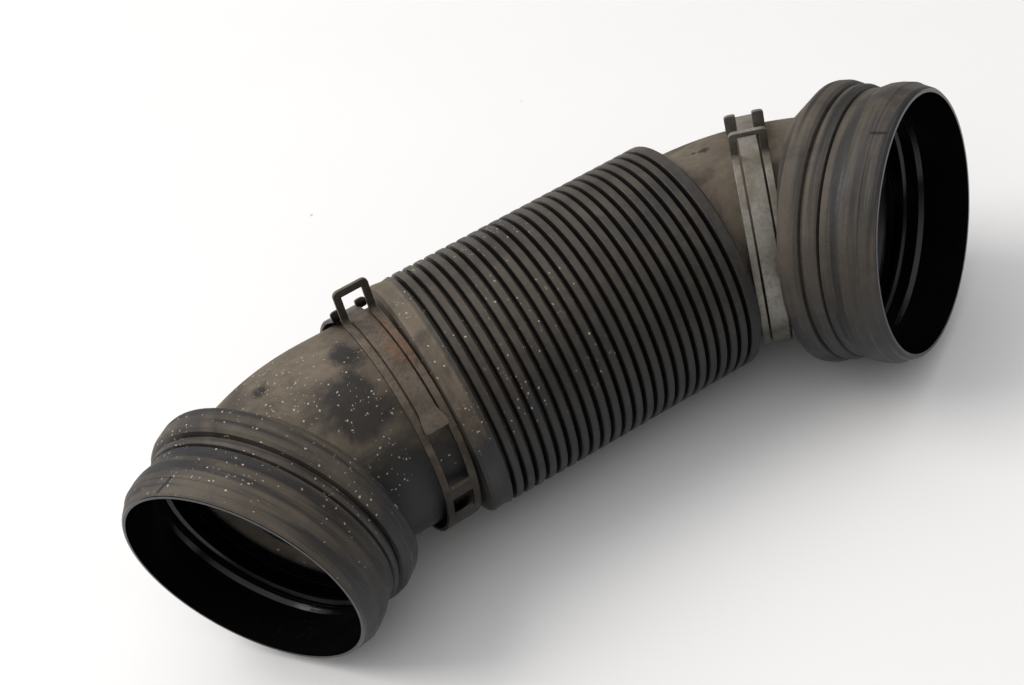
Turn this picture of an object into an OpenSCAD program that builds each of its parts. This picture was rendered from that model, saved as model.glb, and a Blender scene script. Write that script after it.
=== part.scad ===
// Air intake duct: a straight corrugated hose between two smooth necks that
// turn into socket collars, with a loose spring band clamp on each neck.
// It lies on its side, hose along X and both elbows turning towards -Y.
// Millimetres throughout.

/* [Corrugated hose] */
// Outside radius over the crests
crest_r = 42; // [41.6:0.1:42.4]
// Radius at the bottom of the grooves
groove_r = 38.4; // [38.2:0.1:38.8]
// Number of grooves
groove_count = 23; // [21:1:23]
// Distance from groove to groove
pitch = 4.1; // [4:0.05:4.2]
// Width of a groove between the crests
groove_w = 1.5; // [1.3:0.1:1.7]
// Width of a groove at its bottom
groove_floor_w = 0.9; // [0.7:0.1:1]
// Chamfer on the edges of the crests
crest_chamfer = 0.35; // [0.2:0.05:0.4]
// Wall at the bottom of the grooves
groove_wall = 1; // [0.8:0.1:1.2]
// Wall over the crests
crest_wall = 1.2; // [1:0.1:1.4]
// Width of the inner groove under each crest
inner_groove_w = 1; // [0.8:0.1:1.2]
// Length of the wide first ring at the left end
first_ring_len = 7.2; // [6.6:0.1:7.8]
// Hollow of the wide first ring
first_ring_dip = 0.4; // [0.2:0.1:0.5]
// Length of the last ring at the right end
last_ring_len = 4.4; // [4.2:0.1:4.8]
// Length over which each end of the hose drops to the neck
shoulder_len = 2.4; // [2.2:0.1:2.6]

/* [Necks and elbows] */
// Outside radius of the left neck and elbow
left_neck_r = 36.2; // [36:0.1:36.4]
// Outside radius of the right neck and elbow
right_neck_r = 35.5; // [35.3:0.1:35.7]
// Wall of the necks, elbows and collars
neck_wall = 2; // [1.8:0.1:2.2]
// Straight neck between the hose and the left elbow
left_neck_len = 26.8; // [25.8:0.2:27.8]
// Bend radius of the left elbow
left_bend_r = 41; // [40:0.5:43]
// Angle of the left elbow
left_angle = 40.2; // [37:0.2:43]
// Bend radius of the right elbow
right_bend_r = 47.2; // [46.8:0.1:47.6]
// Angle of the right elbow
right_angle = 58.7; // [56:0.1:61]
// Twist of the right elbow about the hose
right_twist = 11.5; // [9:0.5:14]

/* [Left collar] */
// Length from the elbow to the lip
left_collar_len = 30.8; // [30.5:0.1:31.5]
// Outside radius at the lip
left_lip_r = 40.8; // [40.5:0.1:41]
// Outside radius of the swollen lip band
left_band_r = 42.9; // [42.5:0.1:43.2]
// Outside radius of the waist behind the lip band
left_waist_r = 41.6; // [41.3:0.1:41.8]
// Outside radius of the narrow ring between the grooves
left_ring_r = 42.4; // [42.2:0.1:42.7]
// Outside radius of the shoulder bead
left_bead_r = 44.6; // [44.2:0.1:45]
// Distance of the deep groove from the lip
left_deep_at = 21; // [20.8:0.1:21.4]
// Length of the drop from the shoulder bead to the elbow
left_drop_len = 5.6; // [5:0.1:6]
// Inside radius of the socket
left_socket_r = 39.2; // [38.9:0.1:39.4]

/* [Right collar] */
// Length from the elbow to the lip
right_collar_len = 34.2; // [34:0.1:34.6]
// Outside radius at the lip
right_lip_r = 43.5; // [43.2:0.1:43.8]
// Outside radius of the swollen lip band
right_band_r = 45.4; // [45:0.1:45.8]
// Outside radius of the waist behind the lip band
right_waist_r = 43.9; // [43.7:0.1:44.2]
// Outside radius of the narrow ring between the grooves
right_ring_r = 45.3; // [45:0.1:45.6]
// Outside radius of the shoulder bead
right_bead_r = 46.8; // [46.5:0.1:47.1]
// Distance of the deep groove from the lip
right_deep_at = 23.1; // [22.8:0.1:23.4]
// Length of the flare from the shoulder bead to the elbow
right_drop_len = 12; // [11:0.2:13]
// Slant of the edge of the flare
right_flare_tilt = 12; // [11.5:0.1:12.5]
// Distance from the bend axis at which that edge meets the end of the elbow
right_flare_pivot = 28; // [27:0.5:29]
// Inside radius of the socket
right_socket_r = 41.8; // [41.5:0.1:42]

/* [Both collars] */
// Rounding of the lip
lip_round = 0.7; // [0.5:0.1:0.9]
// Distance of the fine parting step from the lip
step_at = 4.8; // [4:0.2:5.6]
// Distance of the widest part of the lip band from the lip
band_at = 8.2; // [7:0.2:9]
// Distance of the thin groove from the lip
thin_at = 17.8; // [17.4:0.1:18.2]
// Width of the thin groove
thin_w = 0.8; // [0.6:0.1:1]
// Depth of the thin groove
thin_depth = 1; // [0.8:0.1:1.2]
// Width of the deep groove
deep_w = 1.5; // [1.3:0.1:1.7]
// Depth of the deep groove below the narrow ring
deep_depth = 1.1; // [0.9:0.1:1.3]
// Distance of the back edge of the shoulder bead from the lip
bead_end = 30; // [29.8:0.1:30.2]
// Height of the two ridges inside each collar
ridge_h = 1.1; // [0.8:0.1:1.3]
// Distance of the end of the plain socket wall from the lip
socket_end = 15.5; // [14:0.5:16]

/* [Both clamps] */
// Width of the spring strip
strip_w = 12; // [11.6:0.1:12.2]
// Thickness of the spring strip
strip_t = 1.2; // [1:0.1:1.3]
// Inside radius of the clamps
clamp_r = 39.2; // [39.1:0.05:39.3]
// Width of the long window
window_w = 7.2; // [7:0.1:7.6]
// Width of the tongue
tongue_w = 6; // [5.6:0.1:6.2]
// Bend radius where the loop and the ears turn up
fold_r = 1.6; // [1.2:0.1:2]
// Height of the loop above the strip
loop_h = 12.4; // [11.6:0.2:13]
// Width of the bar across the loop
loop_bar = 2.5; // [2.2:0.1:2.8]
// Width of each ear
ear_w = 4; // [3.2:0.1:4.4]
// Angle between the loop and the ears
ear_gap = 20; // [18:0.5:22]

/* [Left clamp] */
// Place along the hose axis
left_clamp_x = -64.8; // [-64.9:0.1:-64.7]
// Place off the hose axis, sideways
left_clamp_y = -0.4; // [-0.5:0.1:-0.3]
// Place above the hose axis
left_clamp_z = 1.7; // [1.6:0.1:1.8]
// Turn about the upright axis
left_clamp_yaw = 5.3; // [5:0.1:5.4]
// Rise of its axis above level
left_clamp_rise = -3.5; // [-3.6:0.1:-3.4]
// Angle of the loop behind the top of the neck
left_loop_at = 2.5; // [1:0.5:5]
// Height of its ears above the strip
left_ear_h = 2.6; // [2.4:0.1:4]
// Angle of the tip of the tongue before the top
left_tip_at = -60; // [-64:1:-56]
// Angle of the end of the long window before the top
left_window_end = -90; // [-94:1:-86]
// Angle where the second window starts before the top
left_hole_from = -97; // [-99:1:-96]
// Angle where the second window ends before the top
left_hole_to = -112; // [-116:1:-108]

/* [Right clamp] */
// Place along the hose axis
right_clamp_x = 76.5; // [76.4:0.1:76.6]
// Place off the hose axis, sideways
right_clamp_y = -5.8; // [-5.9:0.1:-5.7]
// Place above the hose axis
right_clamp_z = 2.1; // [2:0.1:2.2]
// Turn about the upright axis
right_clamp_yaw = -29.3; // [-29.4:0.1:-29.2]
// Rise of its axis above level
right_clamp_rise = 1.9; // [1.8:0.1:2]
// Angle of the loop behind the top of the neck
right_loop_at = -18.5; // [-20:0.5:-16]
// Height of its ears above the strip
right_ear_h = 7.5; // [6:0.1:8]
// Angle of the tip of the tongue before the top
right_tip_at = -130; // [-134:1:-126]
// Angle of the end of the long window before the top
right_window_end = -142; // [-146:1:-138]

/* [Resting place] */
// Lean about the hose axis that brings the supports down together
rest_roll = 0.5; // [0:0.1:1]
// Lean about the sideways axis that brings the supports down together
rest_pitch = 1; // [0.5:0.1:1.5]

/* [Hidden] */
$fn = 96;
over = 1;
bead_soft = 1.2;
ring_soft = 0.15;
lead_in = 1.5;
bead_edge = 0.3;
cap = 0.8;
foot_sunk = 1.6;
far = 200;
hair = 0.1;
fold_sunk = 12;
outer_sunk = 22;
inner_sunk = 30;
half_hose = (groove_count - 1) / 2 * pitch;
ring_left = -half_hose - first_ring_len;
ring_right = half_hose + last_ring_len;
left_bend_x = ring_left - shoulder_len - left_neck_len;
right_bend_x = ring_right + 0.7 * shoulder_len;
left_tube_r = left_neck_r - neck_wall;
right_tube_r = right_neck_r - neck_wall;
hose_in_r = groove_r - groove_wall;
crest_in_r = crest_r - crest_wall;

// Where each collar starts and which way its mouth faces, right one untwisted.
left_foot = [
    left_bend_x - left_bend_r * sin(left_angle),
    left_bend_r * cos(left_angle) - left_bend_r,
    0
];
left_way = [-cos(left_angle), -sin(left_angle), 0];
right_foot = [
    right_bend_x + right_bend_r * sin(right_angle),
    right_bend_r * cos(right_angle) - right_bend_r,
    0
];
right_way = [cos(right_angle), -sin(right_angle), 0];

function roll(v, a) = [
    v[0],
    v[1] * cos(a) - v[2] * sin(a),
    v[1] * sin(a) + v[2] * cos(a)
];
function lean(v, a) = [
    v[0] * cos(a) + v[2] * sin(a),
    v[1],
    v[2] * cos(a) - v[0] * sin(a)
];
function rest(v) = lean(roll(v, rest_roll), rest_pitch);

// The widest rings of a collar, each as centre, axis and radius.
function collar_rings(foot, way, len, lip, band, bead) = [
    [foot + way * len, way, lip - lip_round],
    [foot + way * (len - lip_round), way, lip],
    [foot + way * (len - band_at), way, band],
    [foot + way * (len - bead_end + bead_soft), way, bead]
];
rings = concat(
    collar_rings(left_foot, left_way, left_collar_len, left_lip_r, left_band_r, left_bead_r),
    collar_rings(roll(right_foot, -right_twist), roll(right_way, -right_twist),
        right_collar_len, right_lip_r, right_band_r, right_bead_r),
    [[[ring_left + ring_soft, 0, 0], [1, 0, 0], crest_r]],
    [[[ring_right - ring_soft, 0, 0], [1, 0, 0], crest_r]]
);
function reach(ring, i) = ring[2] * sqrt(1 - pow(rest(ring[1])[i], 2));
function low(i) = min([for (ring = rings) rest(ring[0])[i] - reach(ring, i)]);
function high(i) = max([for (ring = rings) rest(ring[0])[i] + reach(ring, i)]);

function groove_x(i) = (i - (groove_count - 1) / 2) * pitch;

// One groove of the outside, as radius and place along the hose.
function groove(x) = [
    [crest_r, x - groove_w / 2 - crest_chamfer],
    [crest_r - crest_chamfer, x - groove_w / 2],
    [groove_r, x - groove_floor_w / 2],
    [groove_r, x + groove_floor_w / 2],
    [crest_r - crest_chamfer, x + groove_w / 2],
    [crest_r, x + groove_w / 2 + crest_chamfer]
];

// One groove of the inside, under a crest.
function inner_groove(x) = [
    [hose_in_r, x - inner_groove_w / 2],
    [crest_in_r, x - inner_groove_w / 2 + 0.1],
    [crest_in_r, x + inner_groove_w / 2 - 0.1],
    [hose_in_r, x + inner_groove_w / 2]
];

// Solid of the hose and its straight necks, to the outside.
module hose_outer() {
    left_drop = crest_r - left_neck_r;
    right_drop = crest_r - right_neck_r;
    left_end = [
        [0, left_bend_x],
        [left_neck_r, left_bend_x],
        [left_neck_r, ring_left - shoulder_len],
        [left_neck_r + 0.55 * left_drop, ring_left - 0.75 * shoulder_len],
        [left_neck_r + 0.88 * left_drop, ring_left - 0.4 * shoulder_len],
        [crest_r, ring_left + ring_soft],
        [crest_r - first_ring_dip, ring_left + 0.5 * first_ring_len]
    ];
    right_end = [
        [crest_r, ring_right - ring_soft],
        [right_neck_r + 0.8 * right_drop, ring_right + 0.4 * shoulder_len],
        [right_neck_r + 0.4 * right_drop, ring_right + 0.75 * shoulder_len],
        [right_neck_r - 0.3 * right_drop, ring_right + 1.15 * shoulder_len],
        [0, ring_right + 1.15 * shoulder_len]
    ];
    grooves = [for (i = [0:groove_count - 1]) for (p = groove(groove_x(i))) p];
    rotate([0, 90, 0])
        rotate_extrude()
            polygon(concat(left_end, grooves, right_end));
}

// Space inside the hose and its straight necks.
module hose_inner() {
    left_end = [
        [0, left_bend_x],
        [left_tube_r, left_bend_x],
        [left_tube_r, ring_left],
        [hose_in_r, ring_left + lead_in]
    ];
    right_end = [
        [hose_in_r, ring_right],
        [right_tube_r - 0.8, ring_right + shoulder_len],
        [0, ring_right + shoulder_len]
    ];
    grooves = [
        for (i = [0:groove_count - 2])
            for (p = inner_groove(groove_x(i) + pitch / 2)) p
    ];
    rotate([0, 90, 0])
        rotate_extrude()
            polygon(concat(left_end, grooves, right_end));
}

module left_elbow(r) {
    translate([left_bend_x, -left_bend_r, 0])
        rotate([0, 0, 90])
            rotate_extrude(angle = left_angle)
                translate([left_bend_r, 0])
                    circle(r);
}

// The right elbow starts under the shoulder of the hose, and runs on by a given
// angle into its collar, so that the wall is whole on the inside of the bend.
module right_elbow(r, sunk) {
    translate([right_bend_x, -right_bend_r, 0])
        rotate([0, 0, 90 - right_angle - sunk])
            rotate_extrude(angle = right_angle + sunk)
                translate([right_bend_r, 0])
                    circle(r);
}

// Puts a collar, drawn upwards from its elbow, on the end of its elbow.
module at_left_collar() {
    translate(left_foot)
        rotate([0, 90, 180 + left_angle])
            children();
}

module at_right_collar() {
    translate(right_foot)
        rotate([0, 90, -right_angle])
            children();
}

// Solid of the cone that drops from the shoulder bead of a collar to its elbow.
module collar_drop(len, bead, drop_len, neck) {
    foot_r = neck - foot_sunk;
    foot_z = len - bead_end - drop_len * (bead - foot_r) / (bead - neck);
    rotate_extrude()
        polygon([
            [0, foot_z],
            [foot_r, foot_z],
            [bead - bead_edge, len - bead_end],
            [bead - 2 * bead_edge, len - bead_end + cap],
            [0, len - bead_end + cap]
        ]);
}

// Solid of a collar to the outside, from the shoulder bead to the lip.
module collar_outer(len, lip, band, waist, ring, bead, deep_at) {
    rotate_extrude()
        polygon([
            [0, len - bead_end],
            [bead - bead_edge, len - bead_end],
            [bead, len - bead_end + bead_soft],
            [bead, len - deep_at - deep_w / 2 - 2.6],
            [bead - 0.5, len - deep_at - deep_w / 2 - 1],
            [bead - 1.4, len - deep_at - deep_w / 2],
            [ring - deep_depth, len - deep_at - deep_w / 4],
            [ring - deep_depth, len - deep_at + deep_w / 4],
            [ring - 0.1, len - deep_at + deep_w / 2],
            [ring, len - (deep_at + thin_at) / 2],
            [waist + 0.4, len - thin_at - thin_w / 2],
            [waist - thin_depth, len - thin_at],
            [waist, len - thin_at + thin_w / 2],
            [waist, len - socket_end + 0.5],
            [band - 0.2, len - band_at - 2.6],
            [band, len - band_at],
            [band - 0.2, len - step_at - 0.3],
            [band - 0.5, len - step_at],
            [lip, len - lip_round],
            [lip - lip_round, len],
            [0, len]
        ]);
}

// Everything behind the slanting edge of the right flare, in the frame of its
// collar, moved towards the mouth by a given distance.
module behind_flare(ahead) {
    translate([0, right_flare_pivot - right_bend_r, ahead])
        rotate([-right_flare_tilt, 0, 0])
            translate([-far / 2, -far, -far])
                cube([far, 2 * far, far]);
}

// Space inside the drop of a collar.
module collar_inner_drop(len, bead, drop_len, neck) {
    slope = drop_len / (bead - neck);
    pocket = bead - neck_wall - hair;
    top_z = len - bead_end + neck_wall * (sqrt(1 + slope * slope) - slope);
    foot_r = neck - neck_wall - 0.75 * foot_sunk;
    foot_z = top_z - slope * (pocket - foot_r);
    back_z = len - bead_end + neck_wall;
    rotate_extrude()
        polygon([
            [0, foot_z],
            [foot_r, foot_z],
            [pocket, top_z],
            [pocket - bead_edge, max(top_z, back_z) + 0.75 * cap],
            [0, max(top_z, back_z) + 0.75 * cap]
        ]);
}

// Space inside a collar, from the shoulder bead out through the mouth.
module collar_inner(len, bead, deep_at, socket) {
    pocket = bead - neck_wall;
    rotate_extrude()
        polygon([
            [0, len - bead_end + neck_wall],
            [pocket, len - bead_end + neck_wall],
            [pocket, len - deep_at - deep_w - 0.6],
            [socket - ridge_h, len - deep_at - 0.6],
            [socket - ridge_h, len - deep_at + 0.6],
            [socket, len - deep_at + 1.5],
            [socket, len - thin_at - 1],
            [socket - ridge_h * 0.6, len - thin_at - 0.2],
            [socket - ridge_h * 0.6, len - thin_at + 0.6],
            [socket, len - socket_end],
            [socket, len + over],
            [0, len + over]
        ]);
}

module duct_outer() {
    hose_outer();
    left_elbow(left_neck_r);
    at_left_collar()
        collar_outer(left_collar_len, left_lip_r, left_band_r, left_waist_r,
            left_ring_r, left_bead_r, left_deep_at);
    at_left_collar()
        collar_drop(left_collar_len, left_bead_r, left_drop_len, left_neck_r);
    rotate([-right_twist, 0, 0]) {
        right_elbow(right_neck_r, outer_sunk);
        at_right_collar()
            collar_outer(right_collar_len, right_lip_r, right_band_r, right_waist_r,
                right_ring_r, right_bead_r, right_deep_at);
        at_right_collar()
            difference() {
                collar_drop(right_collar_len, right_bead_r, right_drop_len, right_neck_r);
                behind_flare(0);
            }
    }
}

module duct_inner() {
    hose_inner();
    left_elbow(left_tube_r);
    at_left_collar() {
        collar_inner(left_collar_len, left_bead_r, left_deep_at, left_socket_r);
        collar_inner_drop(left_collar_len, left_bead_r, left_drop_len, left_neck_r);
    }
    rotate([-right_twist, 0, 0]) {
        right_elbow(right_tube_r, inner_sunk);
        at_right_collar() {
            collar_inner(right_collar_len, right_bead_r, right_deep_at, right_socket_r);
            difference() {
                collar_inner_drop(right_collar_len, right_bead_r, right_drop_len,
                    right_neck_r);
                behind_flare(1.2 * neck_wall);
            }
        }
    }
}

// Sector that takes in the strip from one angle up to another, over a width
// centred on the strip, and a given distance past both of its faces.
module strip_sector(from, to, width, past) {
    rotate([0, 0, from])
        rotate_extrude(angle = to - from)
            translate([clamp_r - past, -width / 2])
                square([strip_t + 2 * past, width]);
}

// Piece of strip that folds up out of the ring and stands radially at an angle.
// Its side edges are at low and high, and its top is at the given height. It is
// a hair thinner and narrower than the ring, and its foot is sunk in the ring.
module upturn(angle, low, high, height, way) {
    thick = strip_t - 2 * hair;
    inner = fold_r + hair;
    wide = high - low - 2 * hair;
    rotate([0, 0, angle])
        translate([clamp_r + strip_t + fold_r, 0, low + hair])
            mirror([0, way, 0]) {
                rotate([0, 0, 90])
                    rotate_extrude(angle = 90 + fold_sunk)
                        translate([inner, 0])
                            square([thick, wide]);
                translate([0, inner, 0])
                    cube([height - fold_r, thick, wide]);
            }
}

// Everything cut from the full ring round the tongue: the long window, and
// the whole width between the loop and the ears.
module round_tongue(loop_at, ear_at, tip_at, window_end) {
    difference() {
        union() {
            strip_sector(window_end, loop_at + 2, window_w, over);
            strip_sector(loop_at, ear_at, strip_w + 2 * over, 1.3 * over);
        }
        strip_sector(tip_at, ear_at + 2, tongue_w, 1.6 * over);
    }
}

// Spring band clamp about Z. The tongue lies in the long window of the strip.
module clamp(loop_at, ear_h, tip_at, window_end) {
    ear_at = loop_at + ear_gap;
    side = strip_w / 2;
    difference() {
        strip_sector(0, 360, strip_w, 0);
        round_tongue(loop_at, ear_at, tip_at, window_end);
    }
    difference() {
        upturn(loop_at, -side, side, loop_h, 0);
        rotate([0, 0, loop_at])
            translate([clamp_r - over, -over, -window_w / 2 - hair])
                cube([
                    strip_t + loop_h + over - loop_bar,
                    2 * over + fold_r + strip_t,
                    window_w + 2 * hair
                ]);
    }
    for (m = [0, 1])
        mirror([0, 0, m])
            upturn(ear_at, side - ear_w, side, ear_h, 1);
}

// Puts a clamp drawn about Z round the duct, its top at +Z.
module around_duct(place, yaw, rise) {
    translate(place)
        rotate([0, -rise, yaw])
            rotate([0, -90, 0])
                children();
}

// Sets the part down: lowest point at Z 0, middle of its box over the origin.
module placed() {
    translate([-(low(0) + high(0)) / 2, -(low(1) + high(1)) / 2, -low(2)])
        rotate([rest_roll, rest_pitch, 0])
            children();
}

module duct_hose() {
    color([0.09, 0.085, 0.08])
        placed()
            difference() {
                duct_outer();
                duct_inner();
            }
}

module left_band_clamp() {
    color([0.42, 0.38, 0.33])
        placed()
            around_duct([left_clamp_x, left_clamp_y, left_clamp_z],
                left_clamp_yaw, left_clamp_rise)
                difference() {
                    clamp(left_loop_at, left_ear_h, left_tip_at, left_window_end);
                    strip_sector(left_hole_to, left_hole_from, window_w, over);
                }
}

module right_band_clamp() {
    color([0.45, 0.43, 0.38])
        placed()
            around_duct([right_clamp_x, right_clamp_y, right_clamp_z],
                right_clamp_yaw, right_clamp_rise)
                clamp(right_loop_at, right_ear_h, right_tip_at, right_window_end);
}

duct_hose();
left_band_clamp();
right_band_clamp();
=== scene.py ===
# %% [markdown]
# # An air intake duct, dressed for the camera
# The solids of the duct and of its two band clamps come ready made. This lesson gives them
# their looks: new clamps rolled from a flat blank, rubber with dust and rub marks, a floor,
# soft light and a camera. Lengths of the object are in millimetres, in the duct's own frame,
# and one matrix sets every finished piece down where the solids lie, in metres.

# %% The frame
import bmesh
import bpy
import math
from mathutils import Euler, Matrix, Vector


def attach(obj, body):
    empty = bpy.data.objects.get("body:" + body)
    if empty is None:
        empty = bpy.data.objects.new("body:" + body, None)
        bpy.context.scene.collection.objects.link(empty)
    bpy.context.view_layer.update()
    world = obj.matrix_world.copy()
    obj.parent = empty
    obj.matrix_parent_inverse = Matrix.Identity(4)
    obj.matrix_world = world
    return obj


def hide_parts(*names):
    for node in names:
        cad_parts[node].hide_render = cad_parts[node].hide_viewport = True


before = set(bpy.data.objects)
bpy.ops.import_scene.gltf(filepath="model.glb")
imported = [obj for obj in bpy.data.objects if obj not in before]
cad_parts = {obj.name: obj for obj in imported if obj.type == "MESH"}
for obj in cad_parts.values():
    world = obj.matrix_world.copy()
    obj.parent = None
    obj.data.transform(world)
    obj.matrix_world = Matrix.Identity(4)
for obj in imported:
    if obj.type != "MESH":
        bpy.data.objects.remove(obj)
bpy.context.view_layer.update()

# %% [markdown]
# ## Where the duct lies
# The duct was drawn with its hose along X, then leaned by a degree so that it lies on its
# supports. The same lean and the same shift put our new pieces in the same place.

# %% The resting place
MM = 0.001
REST_SHIFT = Vector((5.596369, 16.126137, 42.854879))
REST_ROLL = math.radians(0.5)
REST_PITCH = math.radians(1.0)
lean = Matrix.Rotation(REST_PITCH, 4, "Y") @ Matrix.Rotation(REST_ROLL, 4, "X")
rest = Matrix.Scale(MM, 4) @ Matrix.Translation(REST_SHIFT) @ lean


def at_rest(point):
    """A point of the duct's own frame in millimetres, as it lies, in metres."""
    return rest @ Vector(point)


def way_at_rest(way):
    """A direction of the duct's own frame, as it lies."""
    return (lean.to_3x3() @ Vector(way)).normalized()


print("hose middle lies at", [round(a, 4) for a in at_rest((0, 0, 0))])

# %% [markdown]
# ## The main measures
# These are the measures of the duct that the finishes need: where each elbow starts and how
# far it turns, where each collar starts, and which way it faces.

# %% Measures
LEFT_BEND_X, LEFT_BEND_R, LEFT_ANGLE = -81.5, 41.0, math.radians(40.2)
RIGHT_BEND_X, RIGHT_BEND_R, RIGHT_ANGLE = 51.18, 47.2, math.radians(58.7)
RIGHT_TWIST = math.radians(11.5)
twist = Matrix.Rotation(-RIGHT_TWIST, 3, "X")
left_foot = Vector((
    LEFT_BEND_X - LEFT_BEND_R * math.sin(LEFT_ANGLE),
    LEFT_BEND_R * math.cos(LEFT_ANGLE) - LEFT_BEND_R, 0))
left_way = Vector((-math.cos(LEFT_ANGLE), -math.sin(LEFT_ANGLE), 0))
right_foot = twist @ Vector((
    RIGHT_BEND_X + RIGHT_BEND_R * math.sin(RIGHT_ANGLE),
    RIGHT_BEND_R * math.cos(RIGHT_ANGLE) - RIGHT_BEND_R, 0))
right_way = twist @ Vector((math.cos(RIGHT_ANGLE), -math.sin(RIGHT_ANGLE), 0))
print("left collar faces", left_way, "right collar faces", right_way)

# %% [markdown]
# ## Short words for nodes
# A material is a small machine of nodes. Short helpers keep the wiring readable: one adds a
# node and fills its sockets, others do sums, soft masks, colour mixes and cloudy noise, and
# two make a node group and place it.

# %% Node helpers
def add(tree, kind, into=None, **settings):
    """Adds a node, sets it up, and feeds its inputs with sockets or plain values."""
    made = tree.nodes.new("ShaderNode" + kind)
    for name, value in settings.items():
        setattr(made, name, value)
    for place, value in (into or {}).items():
        if isinstance(value, bpy.types.NodeSocket):
            tree.links.new(value, made.inputs[place])
        else:
            made.inputs[place].default_value = value
    return made


def sums(tree, operation, a, b=0.0, c=0.0, clamp=False):
    """The outcome of one sum."""
    return add(tree, "Math", {0: a, 1: b, 2: c}, operation=operation, use_clamp=clamp).outputs[0]


def soft_step(tree, value, low, high, to_low=0.0, to_high=1.0):
    """Goes softly from to_low to to_high while value goes from low to high."""
    return add(tree, "MapRange", {0: value, 1: low, 2: high, 3: to_low, 4: to_high},
               interpolation_type="SMOOTHSTEP").outputs[0]


def mixed(tree, factor, a, b):
    """Colour a, going over to colour b where factor is 1."""
    return add(tree, "Mix", {0: factor, 6: a, 7: b}, data_type="RGBA").outputs[2]


def mottle(tree, place, scale, detail=4.0, rough=0.55, warp=0.0):
    """Cloudy noise between 0 and 1."""
    return add(tree, "TexNoise", {"Vector": place, "Scale": scale, "Detail": detail,
                                  "Roughness": rough, "Distortion": warp}).outputs["Fac"]


def new_group(name, takes, gives):
    """A shader node group with named inputs and outputs."""
    tree = bpy.data.node_groups.new(name, "ShaderNodeTree")
    for label, kind, value in takes:
        socket = tree.interface.new_socket(label, in_out="INPUT", socket_type=kind)
        socket.default_value = value
    for label, kind in gives:
        tree.interface.new_socket(label, in_out="OUTPUT", socket_type=kind)
    return tree, tree.nodes.new("NodeGroupInput").outputs, tree.nodes.new("NodeGroupOutput").inputs


def place_group(tree, group, into):
    """Puts a group into a material with its own values. The group is set before its sockets."""
    made = add(tree, "Group", None, node_tree=group)
    for label, value in into.items():
        if isinstance(value, bpy.types.NodeSocket):
            tree.links.new(value, made.inputs[label])
        else:
            made.inputs[label].default_value = value
    return made.outputs


FLOAT, VECTOR = "NodeSocketFloat", "NodeSocketVector"
print("node helpers ready")

# %% [markdown]
# ## Coordinates round a ring
# Collars are turned shapes. Rub marks and dirt follow the ring, so their pattern needs the
# distance along the axis, the distance from it, and the angle round it. The group works
# these out from a point, the centre of the ring and the turn of its axis, and makes of them
# a place for streaks that run round the ring. It also tells how far the surface faces away
# from the axis, which is below 0 on an inner wall.

# %% Ring coordinates
STREAKS_ALONG, STREAKS_ROUND, STREAKS_OUT = 900.0, 1.6, 120.0
ring_group, g_in, g_out = new_group(
    "ring coordinates",
    [("Place", VECTOR, (0, 0, 0)), ("Centre", VECTOR, (0, 0, 0)), ("Turn", VECTOR, (0, 0, 0))],
    [("Along", FLOAT), ("Radius", FLOAT), ("Outward", FLOAT), ("Streak place", VECTOR)])
shifted = add(ring_group, "VectorMath", {0: g_in["Place"], 1: g_in["Centre"]}, operation="SUBTRACT")
turned = add(ring_group, "VectorRotate", {"Vector": shifted.outputs[0], "Rotation": g_in["Turn"]},
             rotation_type="EULER_XYZ", invert=True)
parts = add(ring_group, "SeparateXYZ", {0: turned.outputs[0]}).outputs
square = sums(ring_group, "ADD", sums(ring_group, "MULTIPLY", parts[0], parts[0]),
              sums(ring_group, "MULTIPLY", parts[1], parts[1]))
radius = sums(ring_group, "SQRT", square)
angle = sums(ring_group, "ARCTAN2", parts[1], parts[0])
streak = add(ring_group, "CombineXYZ", {0: sums(ring_group, "MULTIPLY", parts[2], STREAKS_ALONG),
                                        1: sums(ring_group, "MULTIPLY", angle, STREAKS_ROUND),
                                        2: sums(ring_group, "MULTIPLY", radius, STREAKS_OUT)})
normal = add(ring_group, "NewGeometry").outputs["Normal"]
facing = add(ring_group, "VectorRotate", {"Vector": normal, "Rotation": g_in["Turn"]},
             rotation_type="EULER_XYZ", invert=True)
faces = add(ring_group, "SeparateXYZ", {0: facing.outputs[0]}).outputs
outward = sums(ring_group, "ADD", sums(ring_group, "MULTIPLY", parts[0], faces[0]),
               sums(ring_group, "MULTIPLY", parts[1], faces[1]))
outward = sums(ring_group, "DIVIDE", outward, radius)
for label, value in (("Along", parts[2]), ("Radius", radius), ("Outward", outward),
                     ("Streak place", streak.outputs[0])):
    ring_group.links.new(value, g_out[label])


def turn_to(way):
    """Angles that turn Z to a direction of the duct's own frame, as it lies."""
    return tuple(way_at_rest(way).to_track_quat("Z", "Y").to_euler())


print("ring group has", len(ring_group.nodes), "nodes")

# %% [markdown]
# ## Dust that lies on top
# Road dust settles where a surface faces up, and hangs on in patches. The mask looks at the
# upright part of the normal, and clouds of two sizes break it up.

# %% Dust
dust_group, g_in, g_out = new_group(
    "dust on top",
    [("Place", VECTOR, (0, 0, 0)), ("Steepest", FLOAT, -0.2), ("Flattest", FLOAT, 0.9),
     ("Patch scale", FLOAT, 30.0), ("Patchiness", FLOAT, 0.5)],
    [("Mask", FLOAT)])
normal = add(dust_group, "NewGeometry").outputs["Normal"]
upright = add(dust_group, "SeparateXYZ", {0: normal}).outputs[2]
facing = soft_step(dust_group, upright, g_in["Steepest"], g_in["Flattest"])
FINE_DUST_SCALE, FINE_DUST_SHARE = 420.0, 0.35
wide_clouds = mottle(dust_group, g_in["Place"], g_in["Patch scale"], 5.0, 0.6, 0.4)
fine_clouds = mottle(dust_group, g_in["Place"], FINE_DUST_SCALE, 3.0)
clouds = sums(dust_group, "ADD", wide_clouds, sums(dust_group, "MULTIPLY", fine_clouds, FINE_DUST_SHARE))
patches = soft_step(dust_group, clouds, 0.45, 0.85)
thinned = sums(dust_group, "SUBTRACT", 1.0, sums(
    dust_group, "MULTIPLY", g_in["Patchiness"], sums(dust_group, "SUBTRACT", 1.0, patches)))
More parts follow.
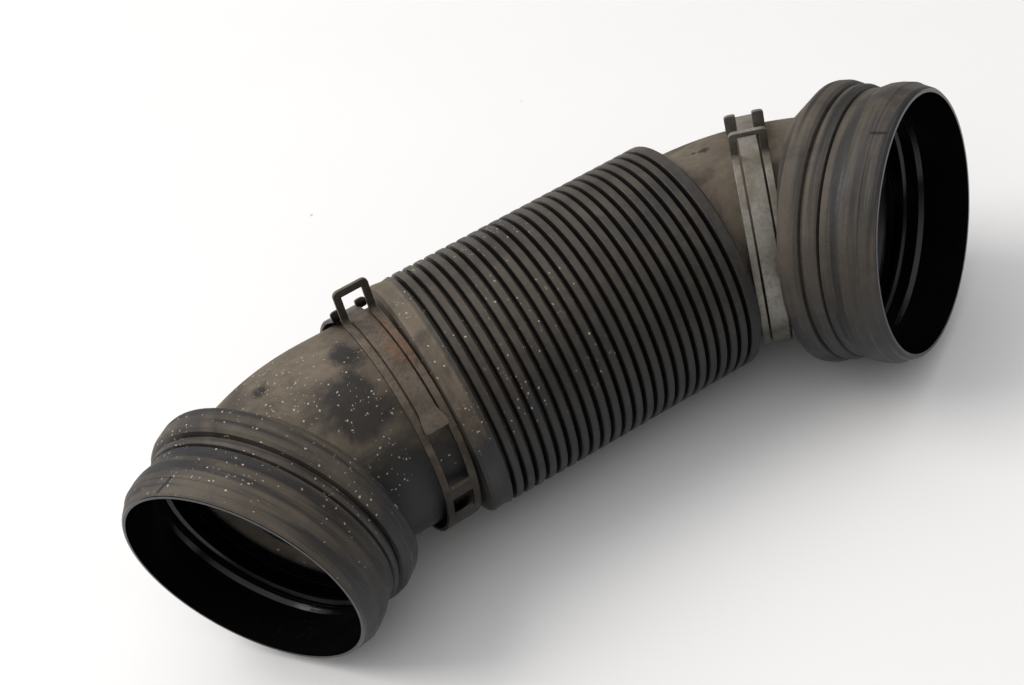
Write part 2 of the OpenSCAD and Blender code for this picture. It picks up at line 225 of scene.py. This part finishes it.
dust_group.links.new(sums(dust_group, "MULTIPLY", facing, thinned, clamp=True), g_out["Mask"])
print("dust group has", len(dust_group.nodes), "nodes")

# %% [markdown]
# ## Scattered grains
# Pale mineral grains lie on the left elbow and on the near part of the corrugation, in
# loose drifts. A grain is a point close to the middle of its own cell. The cells are warped
# so that the grains are not round, and most cells are left out.

# %% Grains
grain_group, g_in, g_out = new_group(
    "scattered grains",
    [("Place", VECTOR, (0, 0, 0)), ("Scale", FLOAT, 350.0), ("Size", FLOAT, 0.2),
     ("Share", FLOAT, 0.1)],
    [("Mask", FLOAT)])
JITTER_SCALE, JITTER_REACH, DRIFT_SCALE = 2200.0, 0.0011, 60.0
jitter = add(grain_group, "TexNoise", {"Vector": g_in["Place"], "Scale": JITTER_SCALE, "Detail": 1.0})
bent = add(grain_group, "VectorMath", {0: jitter.outputs["Color"], 1: (JITTER_REACH,) * 3,
                                       2: g_in["Place"]}, operation="MULTIPLY_ADD").outputs[0]
cells = add(grain_group, "TexVoronoi", {"Vector": bent, "Scale": g_in["Scale"]})
luck = add(grain_group, "SeparateColor", {0: cells.outputs["Color"]}).outputs
own_size = sums(grain_group, "MULTIPLY", g_in["Size"], sums(grain_group, "ADD", luck[1], 0.35))
near = sums(grain_group, "LESS_THAN", cells.outputs["Distance"], own_size)
drift = mottle(grain_group, g_in["Place"], DRIFT_SCALE, 3.0)
drift = soft_step(grain_group, drift, 0.38, 0.66, 0.15, 1.9)
chosen = sums(grain_group, "LESS_THAN", luck[0], sums(grain_group, "MULTIPLY", g_in["Share"], drift))
grain_group.links.new(sums(grain_group, "MULTIPLY", near, chosen), g_out["Mask"])
print("grain group has", len(grain_group.nodes), "nodes")

# %% [markdown]
# ## Marks in one place
# Some marks belong to this duct alone: dark smudges, two stains, and a short nick in the lip
# of each collar. A smudge is a ragged patch round a point, and a nick is a thin line between
# two points, all given in the duct's own frame.

# %% Marks
def distance_to(tree, place, spot):
    """How far each place is from one spot of the duct, in metres."""
    return add(tree, "VectorMath", {0: place, 1: tuple(at_rest(spot))},
               operation="DISTANCE").outputs["Value"]


def smudge(tree, place, middle, reach, ragged=0.9):
    """A patch round one place, 1 in its middle, with a ragged edge."""
    far = distance_to(tree, place, middle)
    edge = sums(tree, "SUBTRACT", mottle(tree, place, 0.9 / (reach * MM), 5.0, 0.65, 0.3), 0.5)
    far = sums(tree, "MULTIPLY_ADD", edge, ragged * reach * MM * 2, far)
    return soft_step(tree, far, reach * MM, 0.35 * reach * MM)


def nick(tree, place, start, end, width):
    """A thin line between two places, 1 along its middle."""
    a, b = at_rest(start), at_rest(end)
    run = b - a
    away = add(tree, "VectorMath", {0: place, 1: tuple(a)}, operation="SUBTRACT").outputs[0]
    share = add(tree, "VectorMath", {0: away, 1: tuple(run / run.length_squared)},
                operation="DOT_PRODUCT").outputs["Value"]
    share = sums(tree, "ADD", share, 0.0, clamp=True)
    foot = add(tree, "VectorMath", {0: tuple(run), 3: share}, operation="SCALE").outputs[0]
    far = add(tree, "VectorMath", {0: away, 1: foot}, operation="DISTANCE").outputs["Value"]
    return soft_step(tree, far, width * MM, 0.3 * width * MM)


def highest(tree, masks):
    """The strongest of several masks at each place."""
    whole = masks[0]
    for mask in masks[1:]:
        whole = sums(tree, "MAXIMUM", whole, mask)
    return whole


print("marks ready")

# %% [markdown]
# ## The rubber of the duct
# One moulding, black when new. The hose keeps a low gloss on its crests, the elbows are
# brown with dust, the collars carry rub marks that run round them, and inside the mouths
# the rubber is clean and shiny, its colour darkened past the outer black as painted shade in
# the bore. All of it is one material that knows where it is.

# %% Rubber
BLACK = (0.0095, 0.0085, 0.0078, 1)
# Clean rubber inside the bores, painted darker than BLACK as the shade in the bore.
CLEAN_AND_SHADED_INSIDE = (0.003, 0.0028, 0.0035, 1)
DUST = (0.108, 0.084, 0.058, 1)
PALE_DUST = (0.235, 0.192, 0.140, 1)
SMUDGE = (0.011, 0.0115, 0.0135, 1)
STREAK = (0.050, 0.047, 0.052, 1)
GRAIN = (0.50, 0.43, 0.33, 1)
SMUDGES = [((-80, -20, 30), 17), ((-72, -36, 8), 27), ((-52, -38, 6), 12),
           ((-72, -2, 36), 8), ((-100, 2, 36), 5)]
STAINS = [((64.6, 4.4, 35.3), 2.4), ((61.3, 5.8, 35.0), 1.2)]
NICKS = [((-133.3, -19.9, 41.6), (-138.4, -19.8, 39.1)),
         ((93.1, -45.8, 52.6), (96.2, -48.3, 52.2))]
NICK_WIDTH = 0.75
HOSE_FROM, HOSE_TO = -48.2, 50.5
HOSE_BORE_R, LEFT_ELBOW_BORE_R, RIGHT_ELBOW_BORE_R = 34.5, 35.2, 34.5
LEFT_SOCKET_R, RIGHT_SOCKET_R, FACING_AXIS = 40.3, 42.9, -0.15
INSIDE_ROUGHNESS = 0.13


def start_material(name):
    """A material with its shader, and the coordinates that every pattern reads."""
    made = bpy.data.materials.new(name)
    made.use_nodes = True
    tree = made.node_tree
    place = add(tree, "TexCoord").outputs["Object"]
    return made, tree, tree.nodes["Principled BSDF"], place


def round_axis(tree, place, centre, axis):
    """Ring coordinates round an axis of the duct's own frame."""
    return place_group(tree, ring_group, {"Place": place, "Centre": tuple(at_rest(centre)),
                                          "Turn": turn_to(axis)})


def in_bend(tree, place, stretch, centre, axis, bend_r, bore_r):
    """1 inside the bore of an elbow that turns round an axis, on the elbow's own stretch."""
    bend = round_axis(tree, place, centre, axis)
    out = sums(tree, "SUBTRACT", bend["Radius"], bend_r * MM)
    off = sums(tree, "SQRT", sums(tree, "ADD", sums(tree, "MULTIPLY", out, out),
                                  sums(tree, "MULTIPLY", bend["Along"], bend["Along"])))
    return sums(tree, "MULTIPLY", stretch, sums(tree, "LESS_THAN", off, bore_r * MM))


def in_socket(tree, on_it, ring, bore_r):
    """1 inside a collar: within its bore, or on a wall that faces its axis."""
    within = sums(tree, "LESS_THAN", ring["Radius"], bore_r * MM)
    turned_in = sums(tree, "LESS_THAN", ring["Outward"], FACING_AXIS)
    return sums(tree, "MULTIPLY", on_it, sums(tree, "MAXIMUM", within, turned_in))


rubber, tree, skin, place = start_material("duct rubber")
hose = round_axis(tree, place, (0, 0, 0), (1, 0, 0))
left = round_axis(tree, place, left_foot, left_way)
right = round_axis(tree, place, right_foot, right_way)
on_left = soft_step(tree, left["Along"], -0.001, 0.0005)
on_right = sums(tree, "MULTIPLY", soft_step(tree, right["Along"], -0.001, 0.003),
                soft_step(tree, right["Radius"], 0.062, 0.058))
on_hose = sums(tree, "MULTIPLY", soft_step(tree, hose["Along"], HOSE_FROM * MM, (HOSE_FROM + 1) * MM),
               soft_step(tree, hose["Along"], HOSE_TO * MM, (HOSE_TO - 1) * MM))
past_left = sums(tree, "LESS_THAN", hose["Along"], LEFT_BEND_X * MM)
past_right = sums(tree, "GREATER_THAN", hose["Along"], RIGHT_BEND_X * MM)
between = sums(tree, "SUBTRACT", 1.0, sums(tree, "ADD", past_left, past_right))
in_hose = sums(tree, "MULTIPLY", between, sums(tree, "LESS_THAN", hose["Radius"], HOSE_BORE_R * MM))
left_bend = sums(tree, "MULTIPLY", past_left, sums(tree, "LESS_THAN", left["Along"], 0.0))
right_bend = sums(tree, "MULTIPLY", past_right, sums(tree, "LESS_THAN", right["Along"], 0.0))
in_left_bend = in_bend(tree, place, left_bend, (LEFT_BEND_X, -LEFT_BEND_R, 0), (0, 0, 1),
                       LEFT_BEND_R, LEFT_ELBOW_BORE_R)
in_right_bend = in_bend(tree, place, right_bend, twist @ Vector((RIGHT_BEND_X, -RIGHT_BEND_R, 0)),
                        twist @ Vector((0, 0, 1)), RIGHT_BEND_R, RIGHT_ELBOW_BORE_R)
in_left = in_socket(tree, on_left, left, LEFT_SOCKET_R)
in_right = in_socket(tree, on_right, right, RIGHT_SOCKET_R)
inside = highest(tree, [in_left, in_right, in_hose, in_left_bend, in_right_bend])
on_collar = sums(tree, "MAXIMUM", on_left, on_right)

facing_up = add(tree, "SeparateXYZ", {0: add(tree, "NewGeometry").outputs["Normal"]}).outputs[2]
elbow_dust = place_group(tree, dust_group, {"Place": place, "Steepest": -0.35, "Flattest": 0.85,
                                            "Patch scale": 16.0, "Patchiness": 0.45})["Mask"]
hose_dust = place_group(tree, dust_group, {"Place": place, "Steepest": -0.1, "Flattest": 1.1,
                                           "Patch scale": 24.0, "Patchiness": 0.75})["Mask"]
less_on_hose = sums(tree, "MULTIPLY", hose_dust, 0.42)
less_on_collar = sums(tree, "MULTIPLY", elbow_dust, 0.58)
dust = add(tree, "Mix", {0: on_hose, 2: elbow_dust, 3: less_on_hose}).outputs[0]
dust = add(tree, "Mix", {0: on_collar, 2: dust, 3: less_on_collar}).outputs[0]

both = add(tree, "Mix", {0: on_right, 4: left["Streak place"], 5: right["Streak place"]},
           data_type="VECTOR").outputs[1]
lines = mottle(tree, both, 1.0, 3.0, 0.6)
rubbed = sums(tree, "MULTIPLY", soft_step(tree, lines, 0.52, 0.75), on_collar)
worn = sums(tree, "MULTIPLY", soft_step(tree, mottle(tree, both, 0.35, 2.0), 0.42, 0.62), on_collar)

clouds = soft_step(tree, mottle(tree, place, 34.0, 6.0, 0.62, 0.8), 0.50, 0.66, 0.0, 0.6)
smudges = highest(tree, [clouds] + [smudge(tree, place, *each) for each in SMUDGES + STAINS])
nicks = highest(tree, [nick(tree, place, a, b, NICK_WIDTH) for a, b in NICKS])
tint = mixed(tree, mottle(tree, place, 55.0, 4.0), DUST, PALE_DUST)
colour = mixed(tree, dust, BLACK, tint)
colour = mixed(tree, sums(tree, "MULTIPLY", smudges, 0.86), colour, SMUDGE)
colour = mixed(tree, sums(tree, "MULTIPLY", worn, 0.8), colour, SMUDGE)
colour = mixed(tree, sums(tree, "MULTIPLY", rubbed, 0.45), colour, STREAK)
grains = place_group(tree, grain_group, {"Place": place, "Scale": 1100.0, "Size": 0.27,
                                         "Share": 0.13})["Mask"]
grainy = sums(tree, "MULTIPLY", grains, sums(tree, "GREATER_THAN", facing_up, 0.15))
grainy = sums(tree, "MULTIPLY", grainy, sums(tree, "LESS_THAN", hose["Along"], 0.0))
colour = mixed(tree, grainy, colour, GRAIN)
colour = mixed(tree, nicks, colour, BLACK)
# Inside the bores: clean glossy rubber, with painted shade making it darker than the outer black.
colour = mixed(tree, inside, colour, CLEAN_AND_SHADED_INSIDE)
tree.links.new(colour, skin.inputs["Base Color"])

gloss = soft_step(tree, dust, 0.0, 0.8, 0.40, 0.85)
gloss = sums(tree, "ADD", gloss, soft_step(tree, mottle(tree, place, 90.0), 0.3, 0.7, -0.06, 0.08))
gloss = sums(tree, "SUBTRACT", gloss, sums(tree, "MULTIPLY", rubbed, 0.22))
gloss = add(tree, "Mix", {0: inside, 2: gloss, 3: INSIDE_ROUGHNESS}).outputs[0]
tree.links.new(gloss, skin.inputs["Roughness"])

skin_grain = sums(tree, "ADD", mottle(tree, place, 2600.0, 2.0),
                  sums(tree, "MULTIPLY", mottle(tree, place, 260.0, 4.0), 0.9))
skin_grain = sums(tree, "ADD", skin_grain, sums(tree, "MULTIPLY", rubbed, 0.6))
skin_grain = sums(tree, "SUBTRACT", skin_grain, sums(tree, "MULTIPLY", nicks, 3.0))
skin_grain = sums(tree, "ADD", skin_grain, sums(tree, "MULTIPLY", grainy, 2.0))
skin_grain = sums(tree, "MULTIPLY", skin_grain, sums(tree, "SUBTRACT", 1.0, sums(
    tree, "MULTIPLY", inside, 0.85)))
bumps = add(tree, "Bump", {"Height": skin_grain, "Strength": 0.35, "Distance": 0.0006})
tree.links.new(bumps.outputs[0], skin.inputs["Normal"])
skin.inputs["IOR"].default_value = 1.42
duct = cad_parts["duct_hose"]
duct.data.materials.clear()
duct.data.materials.append(rubber)
print("rubber has", len(tree.nodes), "nodes")

# %% [markdown]
# ## The spring steel of the clamps
# Both clamps are the same strip, weathered differently: the left one is brown with rust on
# one rail, the right one is grey under dry dust. Rust sits in cloudy patches, so one
# function makes both finishes from a few colours and amounts. Faces that turn down get
# painted shade, strong on the left clamp and faint on the right.

# %% Spring steel
def spring_steel(name, bare, tarnish, rust, rust_share, rust_middle, dull, underside_shade):
    """A dull metal with tarnish in clouds, rust round one place, and painted shade that darkens the
    faces turning sideways and down.
    """
    made, tree, skin, place = start_material(name)
    clouds = mottle(tree, place, 70.0, 6.0, 0.65, 0.5)
    fine = mottle(tree, place, 900.0, 3.0, 0.6)
    colour = mixed(tree, soft_step(tree, clouds, 0.35, 0.66), bare, tarnish)
    close = soft_step(tree, distance_to(tree, place, rust_middle), 0.022, 0.004)
    spots = soft_step(tree, sums(tree, "ADD", mottle(tree, place, 260.0, 5.0, 0.7),
                                 sums(tree, "MULTIPLY", close, 0.22)), 0.60, 0.72)
    rusty = sums(tree, "MULTIPLY", spots, sums(tree, "ADD", close, rust_share, clamp=True))
    colour = mixed(tree, rusty, colour, rust)
    top = place_group(tree, dust_group, {"Place": place, "Steepest": 0.0, "Flattest": 1.0,
                                         "Patch scale": 60.0, "Patchiness": 0.7})["Mask"]
    colour = mixed(tree, sums(tree, "MULTIPLY", top, 0.35), colour, PALE_DUST)
    colour = mixed(tree, soft_step(tree, fine, 0.5, 0.7, 0.0, 0.35), colour, tarnish)
    facing_up = add(tree, "SeparateXYZ", {0: add(tree, "NewGeometry").outputs["Normal"]}).outputs[2]
    # Painted shade: faces that turn sideways and down are darkened toward black.
    colour = mixed(tree, soft_step(tree, facing_up, 0.5, -0.2, 0.0, underside_shade), colour, BLACK)
    tree.links.new(colour, skin.inputs["Base Color"])
    covered = sums(tree, "MAXIMUM", rusty, sums(tree, "MULTIPLY", top, 0.6))
    tree.links.new(soft_step(tree, covered, 0.0, 1.0, 0.75, 0.1), skin.inputs["Metallic"])
    tree.links.new(sums(tree, "ADD", soft_step(tree, covered, 0.0, 1.0, dull, 0.85),
                        soft_step(tree, fine, 0.3, 0.7, -0.05, 0.08)), skin.inputs["Roughness"])
    rough = sums(tree, "ADD", fine, sums(tree, "MULTIPLY", rusty, 1.5))
    bumps = add(tree, "Bump", {"Height": rough, "Strength": 0.3, "Distance": 0.0003})
    tree.links.new(bumps.outputs[0], skin.inputs["Normal"])
    print(name, "has", len(tree.nodes), "nodes")
    return made


brown_steel = spring_steel(
    "left clamp steel", bare=(0.12, 0.098, 0.074, 1), tarnish=(0.034, 0.026, 0.020, 1),
    rust=(0.110, 0.046, 0.018, 1), rust_share=0.08, rust_middle=(-52, -12, 40), dull=0.46, underside_shade=0.75)
grey_steel = spring_steel(
    "right clamp steel", bare=(0.27, 0.26, 0.23, 1), tarnish=(0.13, 0.115, 0.092, 1),
    rust=(0.06, 0.038, 0.022, 1), rust_share=0.08, rust_middle=(78, 20, 30), dull=0.42, underside_shade=0.1)

# %% [markdown]
# ## A clamp is rolled from a flat blank
# The real clamp is punched from 12 mm strip as a flat blank with a long window, and then
# folded and rolled. We do the same: a grid is laid out flat, faces are taken out for the
# windows, corners are rounded, and every vertex is then carried to the rolled path. One
# end folds up as a loop, the other end has two ears and a tongue that goes through the loop.

# %% The rolled path
STRIP_T, CLAMP_R = 1.2, 39.2
SIDE, WINDOW, TONGUE = 6.0, 3.6, 3.0
FOLD_R = 1.6 + STRIP_T / 2
LOOP_H, LOOP_BAR, EAR_GAP = 12.4, 2.5, 20.0
EAR_OUT, EAR_IN, EAR_WIDE_FROM = 6.3, 2.6, 0.35
SQUEEZE_FROM, SQUEEZE_TO = (6, 34), (44, 92)
BESIDE_FROM, BESIDE_TO = (40, 70), (120, 150)


def clamp_place(spot, yaw, rise):
    """Puts a clamp drawn round Z round the duct, its top up."""
    turn = Matrix.Rotation(math.radians(yaw), 4, "Z") @ Matrix.Rotation(-math.radians(rise), 4, "Y")
    return Matrix.Translation(spot) @ turn @ Matrix.Rotation(-math.pi / 2, 4, "Y")


def polar(radius, degrees, across, sideways=0.0):
    """A point of a clamp: radius and angle, place across the strip, step along the ring."""
    a = math.radians(degrees)
    return Vector((radius * math.cos(a) - sideways * math.sin(a),
                   radius * math.sin(a) + sideways * math.cos(a), across))


def ease(value, low, high):
    """Goes softly from 0 to 1 while value goes from low to high."""
    t = min(max((value - low) / (high - low), 0.0), 1.0)
    return t * t * (3 - 2 * t)


def ring_radius(degrees, squeeze, ease_off):
    """Radius of the middle of the strip: closer to the neck behind the top, eased off beside it."""
    a = (degrees + 180) % 360 - 180
    behind = ease(a, *SQUEEZE_FROM) * (1 - ease(a, *SQUEEZE_TO))
    beside = ease(-a, *BESIDE_FROM) * (1 - ease(-a, *BESIDE_TO))
    return CLAMP_R + STRIP_T / 2 - squeeze * behind + ease_off * beside


def fold_length(height):
    """How much strip a folded end takes, from the ring to its top."""
    return FOLD_R * math.pi / 2 + height - (FOLD_R - STRIP_T / 2)


def fold_up(low, height, way, share):
    """Radius and step along the ring on a folded end: share 0 at the ring, 1 at its top."""
    arc = FOLD_R * math.pi / 2
    run = share * fold_length(height)
    if run < arc:
        a = run / FOLD_R
        return low + FOLD_R * (1 - math.cos(a)), way * FOLD_R * math.sin(a)
    return low + FOLD_R + run - arc, way * FOLD_R


print("loop runs", round(fold_length(LOOP_H), 2), "mm from the ring to its top")

# %% [markdown]
# ## The flat blank
# The grid has six lines across: the two sides, the two edges of the window and the two
# edges of the tongue. Along it, a line lies on every place where something starts or ends.

# %% The blank
def flat_blank(name, loop_at, tip_at, window_end, ear_h, holes, flare, lift, squeeze, ease_off,
               spot, yaw, rise, finish):
    """A clamp, cut flat and rolled: angles round the ring in degrees, lengths in millimetres."""
    ear_at = loop_at + EAR_GAP - 360
    per_degree = math.radians(1) * CLAMP_R
    loop_len, ear_len = fold_length(LOOP_H), fold_length(ear_h)

    def along(degrees):
        return loop_len + (loop_at - degrees) * per_degree

    ear_x, tip_x = along(ear_at), along(tip_at - 360)
    marks = [0, LOOP_BAR] + [LOOP_BAR + (loop_len - LOOP_BAR) * k / 8 for k in range(1, 9)]
    marks += [along(window_end), ear_x, tip_x, tip_x - 2.5]
    marks += [along(a) for pair in holes for a in pair]
    steps = [along(loop_at - 3 * k) for k in range(1, int((loop_at - ear_at) / 3) + 1)]
    steps += [ear_x + ear_len * k / 8 for k in range(1, 9)]
    steps += [ear_x + ear_len + 2 * k for k in range(1, int((tip_x - ear_x - ear_len) / 2))]
    stations = sorted(marks)
    for s in steps:
        if min(abs(s - m) for m in stations) > 0.7 and s < tip_x:
            stations.append(s)
    stations.sort()
    lines = [-SIDE, -WINDOW, -TONGUE, TONGUE, WINDOW, SIDE]

    sheet = bmesh.new()
    bmesh.ops.create_grid(sheet, x_segments=len(stations) - 1, y_segments=len(lines) - 1, size=1.0)
    for v in sheet.verts:
        i = round((v.co.x + 1) / 2 * (len(stations) - 1))
        j = round((v.co.y + 1) / 2 * (len(lines) - 1))
        v.co = (stations[i], lines[j], 0)
    out = []
    for f in sheet.faces:
        x, w = f.calc_center_median().xy
        middle, tongue, rail = abs(w) < WINDOW, abs(w) < TONGUE, abs(w) > WINDOW
        in_window = LOOP_BAR < x < along(window_end) and middle
        in_hole = any(along(a) < x < along(b) for a, b in holes) and middle
        past_ears = x > ear_x and not tongue and not (rail and x < ear_x + ear_len)
        if in_window or in_hole or past_ears:
            out.append(f)
    bmesh.ops.delete(sheet, geom=out, context="FACES")
    bmesh.ops.delete(sheet, geom=[v for v in sheet.verts if not v.link_faces], context="VERTS")

    def corners(x, w):
        return [v for v in sheet.verts if abs(v.co.x - x) < 0.01 and abs(abs(v.co.y) - w) < 0.01]

    rounded = [(corners(0, SIDE), 1.8), (corners(ear_x + ear_len, SIDE), 1.0),
               (corners(ear_x + ear_len, WINDOW), 0.6), (corners(tip_x, TONGUE), 0.7)]
    for found, size in rounded:
        bmesh.ops.bevel(sheet, geom=found, offset=size, offset_type="OFFSET", segments=4,
                        affect="VERTICES", profile=0.5, material=-1)

    place_it = rest @ clamp_place(spot, yaw, rise)
    for v in sheet.verts:
        x, w = v.co.x, v.co.y
        if x < loop_len:
            low = ring_radius(loop_at, squeeze, ease_off)
            radius, side = fold_up(low, LOOP_H, 1, 1 - x / loop_len)
            v.co = polar(radius, loop_at, w, side)
        elif x > ear_x + 0.01 and abs(w) > TONGUE + 0.1:
            share = (x - ear_x) / ear_len
            if share > EAR_WIDE_FROM:
                across = (abs(w) - WINDOW) / (SIDE - WINDOW)
                w = math.copysign(EAR_IN + across * (EAR_OUT - EAR_IN), w)
            low = ring_radius(ear_at, squeeze, ease_off)
            radius, side = fold_up(low, ear_h, -1, share)
            v.co = polar(radius, ear_at, w, side)
        else:
            degrees = loop_at - (x - loop_len) / per_degree
            near_tip = ease(x, tip_x - 7.0, tip_x - 1.0)
            radius = ring_radius(degrees, squeeze, ease_off) + lift * near_tip * near_tip
            v.co = polar(radius, degrees, w * (1 + flare * near_tip))
    bmesh.ops.recalc_face_normals(sheet, faces=sheet.faces)
    bmesh.ops.transform(sheet, matrix=place_it, verts=sheet.verts)
    mesh = bpy.data.meshes.new(name)
    sheet.to_mesh(mesh)
    sheet.free()
    mesh.polygons.foreach_set("use_smooth", [True] * len(mesh.polygons))
    piece = bpy.data.objects.new(name, mesh)
    bpy.context.collection.objects.link(piece)
    mesh.materials.append(finish)
    wall = piece.modifiers.new("strip thickness", "SOLIDIFY")
    wall.thickness, wall.offset, wall.use_even_offset = STRIP_T * MM, 0.0, True
    edge = piece.modifiers.new("punched edges", "BEVEL")
    edge.width, edge.segments, edge.limit_method = 0.22 * MM, 2, "ANGLE"
    edge.angle_limit, edge.harden_normals = math.radians(40), True
    print(name, "blank is", round(tip_x, 1), "mm long,", len(mesh.polygons), "faces")
    return piece


left_clamp = flat_blank(
    "left_clamp_rolled", loop_at=2.5, tip_at=-60, window_end=-90, ear_h=2.6, holes=[(-97, -112)],
    flare=0.38, lift=1.5, squeeze=2.6, ease_off=0.0,
    spot=Vector((-64.8, -0.4, 1.7)), yaw=5.3, rise=-3.5, finish=brown_steel)
right_clamp = flat_blank(
    "right_clamp_rolled", loop_at=-18.5, tip_at=-130, window_end=-142, ear_h=7.5, holes=[],
    flare=0.0, lift=0.3, squeeze=2.6, ease_off=0.55,
    spot=Vector((76.5, -5.8, 2.1)), yaw=-29.3, rise=1.9, finish=grey_steel)
for piece, node, slot in ((left_clamp, "left_band_clamp", "left_clamp_steel"),
                          (right_clamp, "right_band_clamp", "right_clamp_steel")):
    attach(piece, "root")
    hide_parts(node)

# %% [markdown]
# ## A pale floor
# The photograph was taken on a white table. A large plane stands in for it, with a faint
# warm tint and a few crumbs of dirt, so that it catches the soft shadow of the duct.

# %% Floor
TABLE_WARM, TABLE_PALE = (0.80, 0.79, 0.765, 1), (0.84, 0.835, 0.82, 1)
CRUMB = (0.25, 0.2, 0.15, 1)
TABLE_HALF = 6.0
table_white, tree, skin, place = start_material("pale table")
tone = mixed(tree, mottle(tree, place, 6.0, 5.0), TABLE_WARM, TABLE_PALE)
crumbs = place_group(tree, grain_group, {"Place": place, "Scale": 60.0, "Size": 0.06,
                                         "Share": 0.06})["Mask"]
tree.links.new(mixed(tree, sums(tree, "MULTIPLY", crumbs, 0.5), tone, CRUMB), skin.inputs["Base Color"])
skin.inputs["Roughness"].default_value = 0.55
table_top = bmesh.new()
bmesh.ops.create_grid(table_top, x_segments=1, y_segments=1, size=TABLE_HALF)
table_mesh = bpy.data.meshes.new("table top")
table_top.to_mesh(table_mesh)
table_top.free()
table_mesh.materials.append(table_white)
floor = bpy.data.objects.new("table_top", table_mesh)
bpy.context.collection.objects.link(floor)
print("floor spans", floor.dimensions.xy)

# %% [markdown]
# ## Soft light
# The shadows in the photograph are soft and fall to the lower right, so the main light is a
# large window behind the duct on the left. A weaker one fills from the front, and a pale
# sky, darker at its foot and towards the lower right, fills the rest. The Standard view
# keeps the white of the table and the black of the rubber as strong as in the photograph.

# %% Lights
def soft_box(name, spot, aim, size, power, tint=(1, 1, 1)):
    """A large square light at a spot, turned to a point of the object."""
    lamp = bpy.data.lights.new(name, "AREA")
    lamp.size, lamp.energy, lamp.color = size, power, tint
    held = bpy.data.objects.new(name, lamp)
    held.location = spot
    held.rotation_euler = (Vector(spot) - Vector(aim)).to_track_quat("Z", "Y").to_euler()
    bpy.context.collection.objects.link(held)
    return held


MIDDLE = (0.0, 0.0, 0.04)
SKY_FOOT, SKY_TOP, SKY_LEAN = 0.12, 1.06, 0.3
soft_box("window light", (-1.0, 0.85, 1.5), MIDDLE, 1.3, 24, (1.0, 0.99, 0.97))
soft_box("front fill", (0.9, -1.3, 1.2), MIDDLE, 1.4, 2, (1.0, 0.97, 0.93))
sky = bpy.data.worlds.new("pale room")
bpy.context.scene.world = sky
sky.use_nodes = True
air = sky.node_tree
toward = add(air, "SeparateXYZ", {0: add(air, "TexCoord").outputs["Generated"]}).outputs
height = soft_step(air, toward[2], 0.0, 1.0, SKY_FOOT, SKY_TOP)
side = sums(air, "ADD", sums(air, "MULTIPLY", toward[0], -SKY_LEAN),
            sums(air, "MULTIPLY", toward[1], SKY_LEAN))
strength = sums(air, "MULTIPLY", height, sums(air, "ADD", side, 1.0))
air.links.new(strength, air.nodes["Background"].inputs["Strength"])
air.nodes["Background"].inputs["Color"].default_value = (0.97, 0.97, 1.0, 1)
bpy.context.scene.view_settings.view_transform = "Standard"

# %% [markdown]
# ## The camera
# The camera stands where the photographer stood: its place and turn were worked out from
# the rings of the duct in the photograph.

# %% Camera
FOCAL_PIXELS, PICTURE_WIDTH = 1250.0, 1024.0
camera = bpy.data.objects.new("camera", bpy.data.cameras.new("camera"))
camera.data.sensor_width = 36.0
camera.data.lens = FOCAL_PIXELS / PICTURE_WIDTH * camera.data.sensor_width
camera.location = (-0.094525, -0.279603, 0.32744)
camera.rotation_euler = Euler([math.radians(a) for a in (45.9741, 14.0797, -28.4024)], "XYZ")
bpy.context.collection.objects.link(camera)
bpy.context.scene.camera = camera
print("lens", round(camera.data.lens, 2), "mm")
